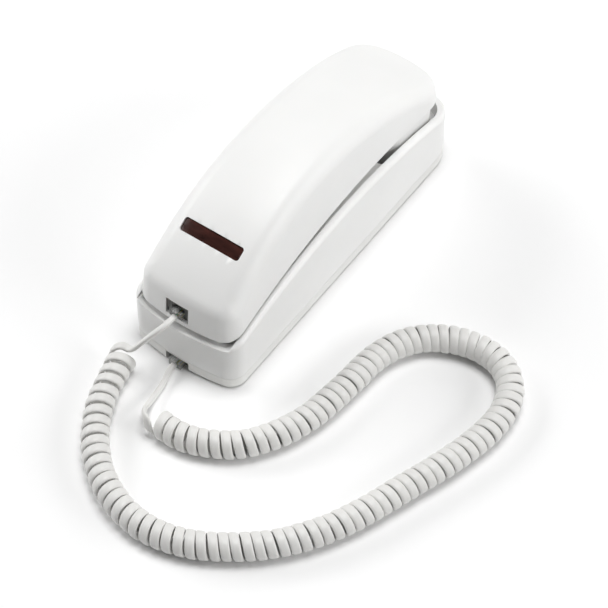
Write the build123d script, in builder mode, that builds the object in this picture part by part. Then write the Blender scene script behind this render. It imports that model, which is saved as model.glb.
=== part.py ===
from build123d import *
import math
import os

# Slimline corded wall telephone, lying on its back plate, millimetres.
# +Y runs from the cord (mouthpiece) end to the earpiece end, +X is to the right seen from the
# cord end, +Z is away from the wall or table. The origin is under the middle of the base.

# ---------------------------------------------------------------- driving dimensions
LENGTH = 212.0
WIDTH = 67.5
END_BOW = 4.2
CORD_CORNER_R = 10.0
FAR_CORNER_R = 21.0

WALL = 2.4
PLATE_BOTTOM_Z = 1.0
PLATE_TOP_Z = 4.5
SEAM_Z = 8.0
SEAM_GAP = 0.2
SEAM_LIP = 1.5
SEAM_LIP_INSET = 1.3
RIM_PEAK_Z = 49.0
RIM_R = 340.0
RIM_EDGE_R = 2.2
RIM_WIDTH = 4.35
DECK_STEP = 1.2
RIM_DIP = 0.8

EAR_WELL_Y = 36.0
EAR_WELL_Z = 23.0
MOUTH_WELL_Y = -58.0
MOUTH_WELL_Z = 27.0

# handset, resting on the base
HS_CORD_Y = -104.3
HS_FAR_Y = 101.5
HS_FOOT_Z = 36.0
HS_FOOT_WIDTH = 62.4
HS_BOW = 4.0
HS_CORD_R = 11.5
HS_FAR_R = 20.5
HS_DRAFT = 5.2
HS_WALL = 2.4
HS_EDGE_R = 11.0
BACK_PEAK_Y = -12.0
BACK_PEAK_Z = 92.5
BACK_CORD_R = 130.0
BACK_FAR_R = 190.0
BACK_CROWN_R = 110.0
EDGE_PEAK_Y = 20.0
EDGE_PEAK_Z = 54.2
EDGE_R = 400.0
BAND = 3.0
FACE_WALL = 2.0

# grip face, hanging over the saddle of the base
GRIP_HALF_WIDTH = 24.5
GRIP_FACE_PEAK_Z = 50.4
EAR_CENTRE_Y = 68.0
EAR_HALF_WIDTH = 28.2
EAR_LENGTH = 48.0
EAR_FACE_Z = 23.5
MOUTH_CENTRE_Y = -80.5
MOUTH_HALF_WIDTH = 26.0
MOUTH_LENGTH = 33.0
MOUTH_FACE_Z = 27.5

# keypad
KEY_PITCH_X = 14.0
KEY_PITCH_Y = 11.5
KEY_FIRST_Y = -42.0
KEY_SIZE = (10.4, 8.0)
KEY_PROUD = 1.2
KEY_GAP = 0.35
KEY_STEM_TOP_Z = 55.5
FUNCTION_KEY_Y = 5.5
FUNCTION_KEY_SIZE = (15.0, 6.0)
MEMBRANE_Z = 57.0
MEMBRANE_T = 1.5
BOARD_T = 1.6

# switch hook
HOOK_Y = 22.0
HOOK_SIZE = (6.0, 9.0)
HOOK_GAP = 0.3

# wall mounting
STUD_SPACING = 101.6
KEYHOLE_ENTRY_R = 5.6
KEYHOLE_SLOT_R = 3.2
KEYHOLE_TRAVEL = 9.5

# modular jacks and plugs
JACK_X = -2.0
JACK_WIDTH = 13.2
JACK_DEPTH = 15.0
JACK_OPENING = 14.8
SOCKET_WIDTH = 7.9
PLUG_WIDTH = 7.65
PLUG_HEIGHT = 6.0
PLUG_LENGTH = 12.0
HS_JACK_Z = 43.4
BASE_JACK_Z = 3.9
BASE_JACK_TOP_Z = 7.1
BASE_PLUG_PROUD = 4.9
HS_PLUG_PROUD = 2.5

# cord
LEAD_D = 2.6
PLUG_CLEARANCE = 0.35
COIL_D = 15.0

os.makedirs("parts", exist_ok=True)


def save(part, name):
    part.label = name
    export_step(part, "parts/" + name + ".step")


def drop(y, radius):
    """Fall of an arc of this radius below its peak, at distance y from the peak."""
    return radius - math.sqrt(radius**2 - y**2)


def rim_z(y):
    return RIM_PEAK_Z - drop(y, RIM_R)


def grip_z(y):
    """Grip face, that the keys stand out of."""
    return GRIP_FACE_PEAK_Z - drop(y, RIM_R)


def outline(half_width, cord_y, far_y, bow, cord_r, far_r):
    """Plan outline with bowed ends and rounded corners."""
    with BuildSketch() as plan:
        with BuildLine():
            cord_left = (-half_width, cord_y + bow)
            cord_right = (half_width, cord_y + bow)
            far_right = (half_width, far_y - bow)
            far_left = (-half_width, far_y - bow)
            ThreePointArc(cord_left, (0, cord_y), cord_right)
            Line(cord_right, far_right)
            ThreePointArc(far_right, (0, far_y), far_left)
            Line(far_left, cord_left)
        make_face()
        fillet(plan.vertices().group_by(Axis.Y)[0], cord_r)
        fillet(plan.vertices().group_by(Axis.Y)[-1], far_r)
    return plan.sketch


def base_plan(inset):
    return outline(
        WIDTH / 2 - inset,
        -LENGTH / 2 + inset,
        LENGTH / 2 - inset,
        END_BOW,
        CORD_CORNER_R - inset,
        FAR_CORNER_R - inset,
    )


def handset_plan(inset):
    return outline(
        HS_FOOT_WIDTH / 2 - inset,
        HS_CORD_Y + inset,
        HS_FAR_Y - inset,
        HS_BOW,
        HS_CORD_R - inset,
        HS_FAR_R - inset,
    )


def base_prism(inset, low, height):
    with BuildPart() as prism:
        with BuildSketch(Plane.XY.offset(low)):
            add(base_plan(inset))
        extrude(amount=height)
    return prism.part


def handset_prism(inset):
    """Upright block on the handset's plan outline, drafted so that it narrows upwards."""
    with BuildPart() as prism:
        with BuildSketch(Plane.XY.offset(HS_FOOT_Z)):
            add(handset_plan(inset))
        extrude(amount=70, taper=HS_DRAFT)
    return prism.part


def under_arch(peak_y, peak_z, radius):
    """Block below a long arc in side view, wider and longer than the telephone."""
    reach = LENGTH * 0.6
    floor = -10.0
    with BuildPart() as block:
        with BuildSketch(Plane.YZ):
            with BuildLine():
                left = (-reach, peak_z - drop(-reach - peak_y, radius))
                right = (reach, peak_z - drop(reach - peak_y, radius))
                ThreePointArc(left, (peak_y, peak_z), right)
                Line(right, (reach, floor))
                Line((reach, floor), (-reach, floor))
                Line((-reach, floor), left)
            make_face()
        extrude(amount=WIDTH, both=True)
    return block.part


def under_back(depth):
    """Crowned, arched block under the handset's back, lowered by depth: two arcs end to end."""
    crown_reach = 45.0
    core = 20.0
    section = Plane(origin=(0, BACK_PEAK_Y, 0), x_dir=(1, 0, 0), z_dir=(0, -1, 0))
    peak = BACK_PEAK_Z - depth
    crown_r = BACK_CROWN_R - depth
    sides = []
    for radius, turn, direction in ((BACK_CORD_R, 70, 1), (BACK_FAR_R, 50, -1)):
        hub_z = BACK_PEAK_Z - radius
        with BuildPart() as side:
            with BuildSketch(section):
                with BuildLine():
                    left = (-crown_reach, peak - drop(crown_reach, crown_r))
                    right = (crown_reach, peak - drop(crown_reach, crown_r))
                    ThreePointArc(left, (0, peak), right)
                    Line(right, (crown_reach, hub_z + core))
                    Line((crown_reach, hub_z + core), (-crown_reach, hub_z + core))
                    Line((-crown_reach, hub_z + core), left)
                make_face()
            revolve(axis=Axis((0, BACK_PEAK_Y, hub_z), (direction, 0, 0)), revolution_arc=turn)
        sides.append(side.part)
    return sides[0] + sides[1]


def slab(low, high):
    """Plain box between two corners."""
    size = [h - l for l, h in zip(low, high)]
    centre = [(h + l) / 2 for l, h in zip(low, high)]
    return Pos(*centre) * Box(*size, mode=Mode.PRIVATE)


def rounded_block(cx, cy, sx, sy, low, high, radius):
    """Upright block with rounded vertical edges."""
    with BuildPart() as block:
        with BuildSketch(Plane.XY.offset(low)):
            with Locations((cx, cy)):
                RectangleRounded(sx, sy, radius)
        extrude(amount=high - low)
    return block.part


def posts(places, radius, low, high):
    with BuildPart() as group:
        with BuildSketch(Plane.XY.offset(low)):
            with Locations(*places):
                Circle(radius)
        extrude(amount=high - low)
    return group.part


def rounded_side_cut(wall_x, cy, cz, length, height, depth):
    """Cutter for a recess in the left wall, from outside it to depth inside it."""
    with BuildPart() as cutter:
        with BuildSketch(Plane.YZ.offset(wall_x - 1)):
            with Locations((cy, cz)):
                RectangleRounded(length, height, min(height / 2.2, 1.5))
        extrude(amount=depth + 1)
    return cutter.part


# ---------------------------------------------------------------- base housing
HOUSING_SCREWS = [(-25.5, -50.0), (25.5, -50.0), (-25.5, 28.0), (25.5, 28.0)]
BOARD_SCREWS = [(-17.0, -44.0), (17.0, -44.0), (-17.0, 21.0), (17.0, 21.0)]
RINGER_SWITCH_Y = 5.0
RINGER_SWITCH_Z = 24.0
RINGER_SWITCH_TRAVEL = 3.0

jack_low_x = JACK_X - JACK_OPENING / 2
jack_high_x = JACK_X + JACK_OPENING / 2
rim_block = under_arch(0, RIM_PEAK_Z, RIM_R)
deck_block = under_arch(0, RIM_PEAK_Z - DECK_STEP, RIM_R - DECK_STEP)
ceiling_block = under_arch(0, RIM_PEAK_Z - DECK_STEP - WALL, RIM_R - DECK_STEP - WALL)

with BuildPart() as deck_recess:
    add(base_prism(RIM_WIDTH, 15, 45))
    add(deck_block, mode=Mode.SUBTRACT)

with BuildPart() as ear_well:
    add(base_prism(RIM_WIDTH, EAR_WELL_Z, 45))
    add(slab((-50, EAR_WELL_Y, 0), (50, 120, 80)), mode=Mode.INTERSECT)
    fillet(ear_well.edges().filter_by(Axis.Z).group_by(Axis.Y)[0], 3.0)

with BuildPart() as mouth_well:
    add(base_prism(RIM_WIDTH, MOUTH_WELL_Z, 45))
    add(slab((-50, -120, 0), (50, MOUTH_WELL_Y, 80)), mode=Mode.INTERSECT)
    fillet(mouth_well.edges().filter_by(Axis.Z).group_by(Axis.Y)[-1], 3.0)

with BuildPart() as base_hollow:
    add(base_prism(WALL, SEAM_Z - 1, 55))
    add(ceiling_block, mode=Mode.INTERSECT)
    add(slab((-50, EAR_WELL_Y - WALL, EAR_WELL_Z - WALL), (50, 120, 80)), mode=Mode.SUBTRACT)
    add(slab((-50, -120, MOUTH_WELL_Z - WALL), (50, MOUTH_WELL_Y + WALL, 80)), mode=Mode.SUBTRACT)

# the cord end's rim dips a little in the middle, under the handset's cord
with BuildPart() as rim_dip:
    dip_span = WIDTH / 2 - 4
    dip_r = (dip_span**2 + RIM_DIP**2) / (2 * RIM_DIP)
    dip_low = rim_z(LENGTH / 2) - RIM_DIP
    with BuildSketch(Plane.XZ.offset(LENGTH / 2 + 5)):
        with BuildLine():
            ThreePointArc((-dip_span, dip_low + RIM_DIP), (0, dip_low), (dip_span, dip_low + RIM_DIP))
            Line((dip_span, dip_low + RIM_DIP), (dip_span, dip_low + 15))
            Line((dip_span, dip_low + 15), (-dip_span, dip_low + 15))
            Line((-dip_span, dip_low + 15), (-dip_span, dip_low + RIM_DIP))
        make_face()
    extrude(amount=-20)

with BuildPart() as base_housing:
    add(base_prism(0, SEAM_Z + SEAM_GAP, RIM_PEAK_Z))
    add(rim_block, mode=Mode.INTERSECT)
    fillet(base_housing.faces().sort_by(Axis.Z)[-1].edges(), RIM_EDGE_R)
    add(rim_dip.part, mode=Mode.SUBTRACT)
    add(deck_recess.part, mode=Mode.SUBTRACT)
    add(ear_well.part, mode=Mode.SUBTRACT)
    add(mouth_well.part, mode=Mode.SUBTRACT)
    add(base_hollow.part, mode=Mode.SUBTRACT)
    # step that takes the lip of the back plate
    add(base_prism(SEAM_LIP_INSET - SEAM_GAP, SEAM_Z, SEAM_LIP + 2 * SEAM_GAP), mode=Mode.SUBTRACT)
    # screw bosses, hanging from the saddle
    for boss_x, boss_y in HOUSING_SCREWS:
        add(posts([(boss_x, boss_y)], 3.2, PLATE_TOP_Z, rim_z(boss_y) - DECK_STEP - 1))
    with BuildSketch(Plane.XY.offset(PLATE_TOP_Z)):
        with Locations(*HOUSING_SCREWS):
            Circle(1.25)
    extrude(amount=12, mode=Mode.SUBTRACT)
    # hole for the switch-hook plunger
    with BuildSketch(Plane.XY.offset(rim_z(HOOK_Y) - DECK_STEP - WALL - 1)):
        with Locations((0, HOOK_Y)):
            RectangleRounded(HOOK_SIZE[0] + 2 * HOOK_GAP, HOOK_SIZE[1] + 2 * HOOK_GAP, 1.2)
    extrude(amount=10, mode=Mode.SUBTRACT)
    # recess and slot of the ringer switch, in the left wall
    add(rounded_side_cut(-WIDTH / 2, RINGER_SWITCH_Y, RINGER_SWITCH_Z, 16.0, 7.0, 1.2), mode=Mode.SUBTRACT)
    add(rounded_side_cut(-WIDTH / 2, RINGER_SWITCH_Y, RINGER_SWITCH_Z, 10.0, 2.6, 5.0), mode=Mode.SUBTRACT)
save(base_housing.part, "base_housing")

# ---------------------------------------------------------------- back plate, feet and screws
FEET = [(-25.0, -90.0), (25.0, -90.0), (-25.0, 88.0), (25.0, 88.0)]
BOARD_Z = 13.0
LINE_JACK_Y = -2.0
LINE_POCKET = (18.0, 30.0)

with BuildPart() as back_plate:
    # a tray: its wall makes the lowest band of the sides, with a lip inside the housing
    add(base_prism(0, PLATE_BOTTOM_Z, SEAM_Z - PLATE_BOTTOM_Z))
    fillet(back_plate.edges().group_by(Axis.Z)[0], 1.0)
    add(base_prism(SEAM_LIP_INSET, SEAM_Z, SEAM_LIP))
    add(base_prism(WALL, PLATE_TOP_Z, 2 * SEAM_Z), mode=Mode.SUBTRACT)
    add(posts(BOARD_SCREWS, 3.0, PLATE_TOP_Z - 1, BOARD_Z))
    with BuildSketch(Plane.XY.offset(PLATE_BOTTOM_Z - 1)):
        with Locations((0, -STUD_SPACING / 2), (0, STUD_SPACING / 2)):
            Circle(KEYHOLE_ENTRY_R)
            with Locations((0, KEYHOLE_TRAVEL / 2)):
                SlotCenterToCenter(KEYHOLE_TRAVEL, KEYHOLE_SLOT_R * 2, rotation=90)
        with Locations((0, LINE_JACK_Y)):
            RectangleRounded(*LINE_POCKET, 2.0)
        with Locations(*HOUSING_SCREWS):
            Circle(1.7)
        with GridLocations(6, 6, 3, 3):
            with Locations((0, 79)):
                Circle(1.0)
    extrude(amount=PLATE_TOP_Z - PLATE_BOTTOM_Z + 1, mode=Mode.SUBTRACT)
    # countersunk seats of the housing screws, foot recesses
    with BuildSketch(Plane.XY.offset(PLATE_BOTTOM_Z - 1)):
        with Locations(*HOUSING_SCREWS):
            Circle(3.2)
    extrude(amount=2.9, mode=Mode.SUBTRACT)
    with BuildSketch(Plane.XY.offset(PLATE_BOTTOM_Z - 1)):
        with Locations(*FEET):
            Circle(5.2)
    extrude(amount=2.0, mode=Mode.SUBTRACT)
    with BuildSketch(Plane.XY.offset(BOARD_Z - 6)):
        with Locations(*BOARD_SCREWS):
            Circle(0.9)
    extrude(amount=6, mode=Mode.SUBTRACT)
    # handset cord opening at the foot of the cord end
    add(slab((jack_low_x, -110, -1), (jack_high_x, -88, BASE_JACK_TOP_Z)), mode=Mode.SUBTRACT)
save(back_plate.part, "back_plate")

with BuildPart() as rubber_feet:
    with BuildSketch():
        with Locations(*FEET):
            Circle(5.0)
    extrude(amount=2.0)
    fillet(rubber_feet.edges().group_by(Axis.Z)[0], 0.5)
save(rubber_feet.part, "rubber_feet")


def screws(places, head_z, head_r, head_h, shank_r, shank_l, up=1):
    """Pan-head screws: the head from head_z, the shank beyond it, upward or downward."""
    with BuildPart() as group:
        with BuildSketch(Plane.XY.offset(head_z)):
            with Locations(*places):
                Circle(head_r)
        extrude(amount=head_h * up)
        with BuildSketch(Plane.XY.offset(head_z + head_h * up)):
            with Locations(*places):
                Circle(shank_r)
        extrude(amount=shank_l * up)
        with BuildSketch(Plane.XY.offset(head_z)):
            with Locations(*places):
                Rectangle(head_r * 1.3, 0.5)
                Rectangle(0.5, head_r * 1.3)
        extrude(amount=0.8 * up, mode=Mode.SUBTRACT)
    return group.part


base_screws = screws(HOUSING_SCREWS, PLATE_BOTTOM_Z + 0.1, 2.8, 1.8, 1.2, 12.0)
save(base_screws, "base_screws")

# ---------------------------------------------------------------- base electronics
BASE_BOARD = (44.0, 84.0)
BASE_BOARD_Y = -12.0

with BuildPart() as base_board:
    with BuildSketch(Plane.XY.offset(BOARD_Z)):
        with Locations((0, BASE_BOARD_Y)):
            RectangleRounded(*BASE_BOARD, 2.0)
        with Locations(*BOARD_SCREWS):
            Circle(1.2, mode=Mode.SUBTRACT)
    extrude(amount=BOARD_T)
save(base_board.part, "base_board")

board_top = BOARD_Z + BOARD_T
board_screws = screws(BOARD_SCREWS, board_top + 1.2, 2.0, 1.2, 0.85, 6.0, up=-1)
save(board_screws, "board_screws")

CAPACITORS = [(-12.0, -30.0, 4.0, 11.0), (-2.0, -34.0, 3.2, 9.0), (10.0, -28.0, 5.0, 12.0)]
with BuildPart() as capacitors:
    for cx, cy, radius, height in CAPACITORS:
        with BuildSketch(Plane.XY.offset(board_top)):
            with Locations((cx, cy)):
                Circle(radius)
        extrude(amount=height)
save(capacitors.part, "capacitors")

with BuildPart() as speech_chip:
    with BuildSketch(Plane.XY.offset(board_top + 0.4)):
        with Locations((-6, -12)):
            Rectangle(6.4, 20)
    extrude(amount=3.2)
    with BuildSketch(Plane.XY.offset(board_top)):
        with Locations((-6, -12)):
            with GridLocations(7.6, 2.54, 2, 8):
                Rectangle(0.5, 0.5)
    extrude(amount=2.4)
    with BuildSketch(Plane.XY.offset(board_top + 1.6)):
        with Locations((-6, -12)):
            with GridLocations(0, 2.54, 1, 8):
                Rectangle(8.1, 0.5)
    extrude(amount=0.4)
save(speech_chip.part, "speech_chip")

with BuildPart() as bridge_diodes:
    with BuildSketch(Plane.XY.offset(board_top)):
        with Locations((14, -8)):
            Rectangle(7.0, 9.0)
    extrude(amount=3.0)
save(bridge_diodes.part, "bridge_rectifier")

# ---------------------------------------------------------------- switch hook
hook_deck_z = rim_z(HOOK_Y) - DECK_STEP
hook_top_z = grip_z(HOOK_Y) - 0.3
SWITCH_TOP_Z = 29.0
HOOK_TRAVEL = 3.2
HOOK_FLANGE = 2.0
flange_top_z = hook_deck_z - WALL - HOOK_TRAVEL - 1.0
stem_low_z = SWITCH_TOP_Z + 0.4

with BuildPart() as hook_switch:
    with BuildSketch(Plane.XY.offset(board_top)):
        with Locations((0, HOOK_Y - 12)):
            Rectangle(8.0, 8.0)
    extrude(amount=8)
    with BuildSketch(Plane.XY.offset(board_top)):
        with Locations((0, HOOK_Y)):
            Rectangle(10.0, 16.0)
    extrude(amount=SWITCH_TOP_Z - board_top)
save(hook_switch.part, "hook_switch")

with BuildPart() as hook_plunger:
    with BuildSketch(Plane.XY.offset(flange_top_z)):
        with Locations((0, HOOK_Y)):
            RectangleRounded(*HOOK_SIZE, 1.0)
    extrude(amount=hook_top_z - flange_top_z)
    fillet(hook_plunger.edges().group_by(Axis.Z)[-1], 0.9)
    with BuildSketch(Plane.XY.offset(flange_top_z - HOOK_FLANGE)):
        with Locations((0, HOOK_Y)):
            RectangleRounded(HOOK_SIZE[0] + 4, HOOK_SIZE[1] + 3, 1.0)
    extrude(amount=HOOK_FLANGE)
    with BuildSketch(Plane.XY.offset(stem_low_z)):
        with Locations((0, HOOK_Y)):
            Circle(2.2)
    extrude(amount=flange_top_z - HOOK_FLANGE - stem_low_z)
save(hook_plunger.part, "hook_plunger")

with BuildPart() as hook_spring:
    with BuildSketch(Plane.XY.offset(SWITCH_TOP_Z + 0.1)):
        with Locations((0, HOOK_Y)):
            Circle(4.2)
            Circle(3.2, mode=Mode.SUBTRACT)
    extrude(amount=flange_top_z - HOOK_FLANGE - SWITCH_TOP_Z - 0.3)
save(hook_spring.part, "hook_spring")

# ---------------------------------------------------------------- ringer and its switch
with BuildPart() as ringer:
    with BuildSketch(Plane.XY.offset(PLATE_TOP_Z)):
        with Locations((0, 79)):
            Circle(15.0)
            Circle(13.4, mode=Mode.SUBTRACT)
    extrude(amount=4.5)
    with BuildSketch(Plane.XY.offset(PLATE_TOP_Z + 4.5)):
        with Locations((0, 79)):
            Circle(15.0)
    extrude(amount=1.0)
save(ringer.part, "ringer_disc")

with BuildPart() as ringer_switch:
    switch_top = RINGER_SWITCH_Z - 2.4
    add(slab((-24.8, RINGER_SWITCH_Y - 9, board_top), (-18, RINGER_SWITCH_Y + 9, switch_top)))
    add(slab((-29.6, RINGER_SWITCH_Y - 8, switch_top - 4.6), (-24.8, RINGER_SWITCH_Y + 8, switch_top)))
save(ringer_switch.part, "ringer_switch_body")

with BuildPart() as ringer_knob:
    knob_out = -WIDTH / 2 + 0.15
    knob_y = RINGER_SWITCH_Y - RINGER_SWITCH_TRAVEL / 2
    knob_in = knob_out + 0.9
    add(slab((knob_out, knob_y - 3, RINGER_SWITCH_Z - 2.4), (knob_in, knob_y + 3, RINGER_SWITCH_Z + 2.4)))
    add(slab((knob_in, knob_y - 2.2, RINGER_SWITCH_Z - 1.1), (-28, knob_y + 2.2, RINGER_SWITCH_Z + 1.1)))
    with BuildSketch(Plane.YZ.offset(knob_out)):
        with Locations((knob_y, RINGER_SWITCH_Z)):
            with GridLocations(1.4, 0, 3, 1):
                Rectangle(0.5, 4.0)
    extrude(amount=0.4, mode=Mode.SUBTRACT)
save(ringer_knob.part, "ringer_switch_knob")

# ---------------------------------------------------------------- handset casing
edge_block = under_arch(EDGE_PEAK_Y, EDGE_PEAK_Z, EDGE_R)
seam_block = under_arch(EDGE_PEAK_Y, EDGE_PEAK_Z + BAND, EDGE_R + BAND)
shelf_block = under_arch(EDGE_PEAK_Y, EDGE_PEAK_Z + FACE_WALL, EDGE_R + FACE_WALL)
grip_block = under_arch(0, GRIP_FACE_PEAK_Z, RIM_R)
grip_inner_block = under_arch(0, GRIP_FACE_PEAK_Z + FACE_WALL, RIM_R + FACE_WALL)
MOUTH_BACK_Y = MOUTH_CENTRE_Y + MOUTH_LENGTH / 2
EAR_FRONT_Y = EAR_CENTRE_Y - EAR_LENGTH / 2
JACK_CUT = slab((JACK_X - 7.4, -115, HS_JACK_Z - 4.6), (JACK_X + 7.0, -94.9, HS_JACK_Z + 6.4))
LENS_SIZE = (37.0, 7.7)
LENS_ANGLE = 29.0
LENS_X = -0.6
LENS_R = 1.6
lens_y = BACK_PEAK_Y - BACK_CORD_R * math.sin(math.radians(LENS_ANGLE))
lens_z = BACK_PEAK_Z - BACK_CORD_R * (1 - math.cos(math.radians(LENS_ANGLE)))
lens_plane = Plane(origin=(LENS_X, lens_y, lens_z), x_dir=(1, 0, 0)).rotated((LENS_ANGLE, 0, 0))


def lens_block(shrink, depth):
    """Rounded bar square to the handset's back at the lamp window."""
    with BuildPart() as bar:
        with BuildSketch(lens_plane.offset(-depth)):
            RectangleRounded(LENS_SIZE[0] - 2 * shrink, LENS_SIZE[1] - 2 * shrink, LENS_R)
        extrude(amount=depth + 6)
    return bar.part


def back_body(inset, lowest):
    """Crowned and rounded block of the handset's back, inset evenly."""
    with BuildPart() as body:
        add(handset_prism(inset))
        add(under_back(inset), mode=Mode.INTERSECT)
        ridge = body.faces().filter_by(GeomType.REVOLUTION).edges()
        fillet(ridge.filter_by(GeomType.CIRCLE, reverse=True), HS_EDGE_R - inset)
        add(lowest, mode=Mode.SUBTRACT)
    return body.part


VOLUME_Y = 52.0
VOLUME_Z = 64.0
VOLUME_TRAVEL = 6.0
volume_wall_x = -29.0
LAMP_BOARD_DEPTH = 9.0
HS_BOSSES = [(-19.0, -57.0), (19.0, -57.0), (-19.0, 36.0), (19.0, 36.0)]
HS_BOSS_FOOT_Z = 51.0

back_skin = back_body(0, seam_block)
with BuildPart() as handset_back:
    add(back_skin)
    add(back_body(HS_WALL, under_arch(EDGE_PEAK_Y, EDGE_PEAK_Z, EDGE_R)), mode=Mode.SUBTRACT)
    # screw bosses hang from the back to just above the face shell
    add(posts(HS_BOSSES, 3.2, HS_BOSS_FOOT_Z, BACK_PEAK_Z) & under_back(HS_WALL / 2))
    with BuildSketch(Plane.XY.offset(HS_BOSS_FOOT_Z)):
        with Locations(*HS_BOSSES):
            Circle(1.25)
    extrude(amount=12, mode=Mode.SUBTRACT)
    add(lens_block(0, 8), mode=Mode.SUBTRACT)
    add(JACK_CUT, mode=Mode.SUBTRACT)
    add(rounded_side_cut(volume_wall_x, VOLUME_Y, VOLUME_Z, 18.0, 6.0, 1.6), mode=Mode.SUBTRACT)
    add(rounded_side_cut(volume_wall_x, VOLUME_Y, VOLUME_Z, 12.0, 2.4, 6.0), mode=Mode.SUBTRACT)
save(handset_back.part, "handset_back_cover")

KEY_ROWS = [KEY_FIRST_Y + KEY_PITCH_Y * row for row in range(4)]
KEY_COLUMNS = [-KEY_PITCH_X, 0.0, KEY_PITCH_X]
FUNCTION_COLUMNS = [-10.0, 10.0]

ear_outer = rounded_block(0, EAR_CENTRE_Y, 2 * EAR_HALF_WIDTH, EAR_LENGTH, EAR_FACE_Z, 56.0, 12.0)
ear_inner = rounded_block(
    0,
    EAR_CENTRE_Y,
    2 * (EAR_HALF_WIDTH - FACE_WALL),
    EAR_LENGTH - 2 * FACE_WALL,
    EAR_FACE_Z + FACE_WALL,
    70.0,
    10.0,
)
mouth_inner = rounded_block(
    0,
    MOUTH_CENTRE_Y,
    2 * (MOUTH_HALF_WIDTH - FACE_WALL),
    MOUTH_LENGTH - 2 * FACE_WALL,
    MOUTH_FACE_Z + FACE_WALL,
    70.0,
    7.0,
)
grip_outer = slab((-GRIP_HALF_WIDTH, MOUTH_BACK_Y - 4, 20), (GRIP_HALF_WIDTH, EAR_FRONT_Y + 4, 56))
grip_outer = grip_outer - grip_block
grip_room = GRIP_HALF_WIDTH - FACE_WALL
grip_inner = slab((-grip_room, MOUTH_BACK_Y - 8, 20), (grip_room, EAR_FRONT_Y + 8, 70)) - grip_inner_block
band_solid = (handset_prism(0) & seam_block) - edge_block
band_inner = handset_prism(HS_WALL) - shelf_block

with BuildPart() as handset_face:
    add(ear_outer)
    fillet(handset_face.edges().group_by(Axis.Z)[0], 3.0)
    with BuildSketch(Plane.XY.offset(MOUTH_FACE_Z)):
        with Locations((0, MOUTH_CENTRE_Y)):
            RectangleRounded(2 * MOUTH_HALF_WIDTH, MOUTH_LENGTH, 9.0)
    extrude(amount=56 - MOUTH_FACE_Z)
    fillet(handset_face.faces().filter_by(Axis.Z).sort_by(Axis.Y)[0].edges(), 3.0)
    add(grip_outer)
    add(seam_block, mode=Mode.INTERSECT)
    add(band_solid)
    add(band_inner, mode=Mode.SUBTRACT)
    add(ear_inner, mode=Mode.SUBTRACT)
    add(mouth_inner, mode=Mode.SUBTRACT)
    add(grip_inner, mode=Mode.SUBTRACT)
    # posts that the four case screws pass through
    for bx, by in HS_BOSSES:
        with BuildSketch(Plane.XY.offset(grip_z(by) + 1)):
            with Locations((bx, by)):
                Circle(3.4)
        extrude(amount=HS_BOSS_FOOT_Z - 0.2 - grip_z(by) - 1)
        with BuildSketch(Plane.XY.offset(grip_z(by) - 2)):
            with Locations((bx, by)):
                Circle(1.5)
        extrude(amount=12, mode=Mode.SUBTRACT)
        with BuildSketch(Plane.XY.offset(grip_z(by) - 2)):
            with Locations((bx, by)):
                Circle(2.7)
        extrude(amount=3.6, mode=Mode.SUBTRACT)
    # key windows
    with BuildSketch(Plane.XY.offset(GRIP_FACE_PEAK_Z - 6)):
        for row_y in KEY_ROWS:
            with Locations(*[(kx, row_y) for kx in KEY_COLUMNS]):
                RectangleRounded(KEY_SIZE[0] + 2 * KEY_GAP, KEY_SIZE[1] + 2 * KEY_GAP, 1.2)
        with Locations(*[(kx, FUNCTION_KEY_Y) for kx in FUNCTION_COLUMNS]):
            RectangleRounded(FUNCTION_KEY_SIZE[0] + 2 * KEY_GAP, FUNCTION_KEY_SIZE[1] + 2 * KEY_GAP, 1.2)
    extrude(amount=10, mode=Mode.SUBTRACT)
    # earpiece holes: a ring round a centre hole, and three holes for the microphone
    with BuildSketch(Plane.XY.offset(EAR_FACE_Z - 2)):
        with Locations((0, EAR_CENTRE_Y)):
            Circle(1.3)
            with PolarLocations(5.0, 6):
                Circle(1.3)
            with PolarLocations(9.5, 12):
                Circle(1.3)
    extrude(amount=6, mode=Mode.SUBTRACT)
    with BuildSketch(Plane.XY.offset(MOUTH_FACE_Z - 2)):
        with Locations((0, MOUTH_CENTRE_Y)):
            with GridLocations(4.5, 0, 3, 1):
                Circle(0.9)
    extrude(amount=6, mode=Mode.SUBTRACT)
    add(JACK_CUT, mode=Mode.SUBTRACT)
save(handset_face.part, "handset_face")

with BuildPart() as handset_screws:
    for bx, by in HS_BOSSES:
        head_low = grip_z(by) + 0.2
        add(screws([(bx, by)], head_low, 2.5, 1.4, 1.2, HS_BOSS_FOOT_Z + 8 - head_low))
save(handset_screws.part, "handset_screws")

# ---------------------------------------------------------------- lamp window
with BuildPart() as lamp_lens:
    add(lens_block(0.15, 3.0))
    add(under_back(0.9), mode=Mode.INTERSECT)
save(lamp_lens.part, "lamp_lens")

LAMP_BOARD = (40.0, 12.0)
with BuildPart() as lamp_board:
    with BuildSketch(lens_plane.offset(-LAMP_BOARD_DEPTH - BOARD_T)):
        Rectangle(*LAMP_BOARD)
    extrude(amount=BOARD_T)
save(lamp_board.part, "lamp_board")
with BuildPart() as lamps:
    with BuildSketch(lens_plane.offset(-LAMP_BOARD_DEPTH)):
        with GridLocations(12, 0, 2, 1):
            Circle(2.5)
    extrude(amount=4.5)
save(lamps.part, "lamps")

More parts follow.
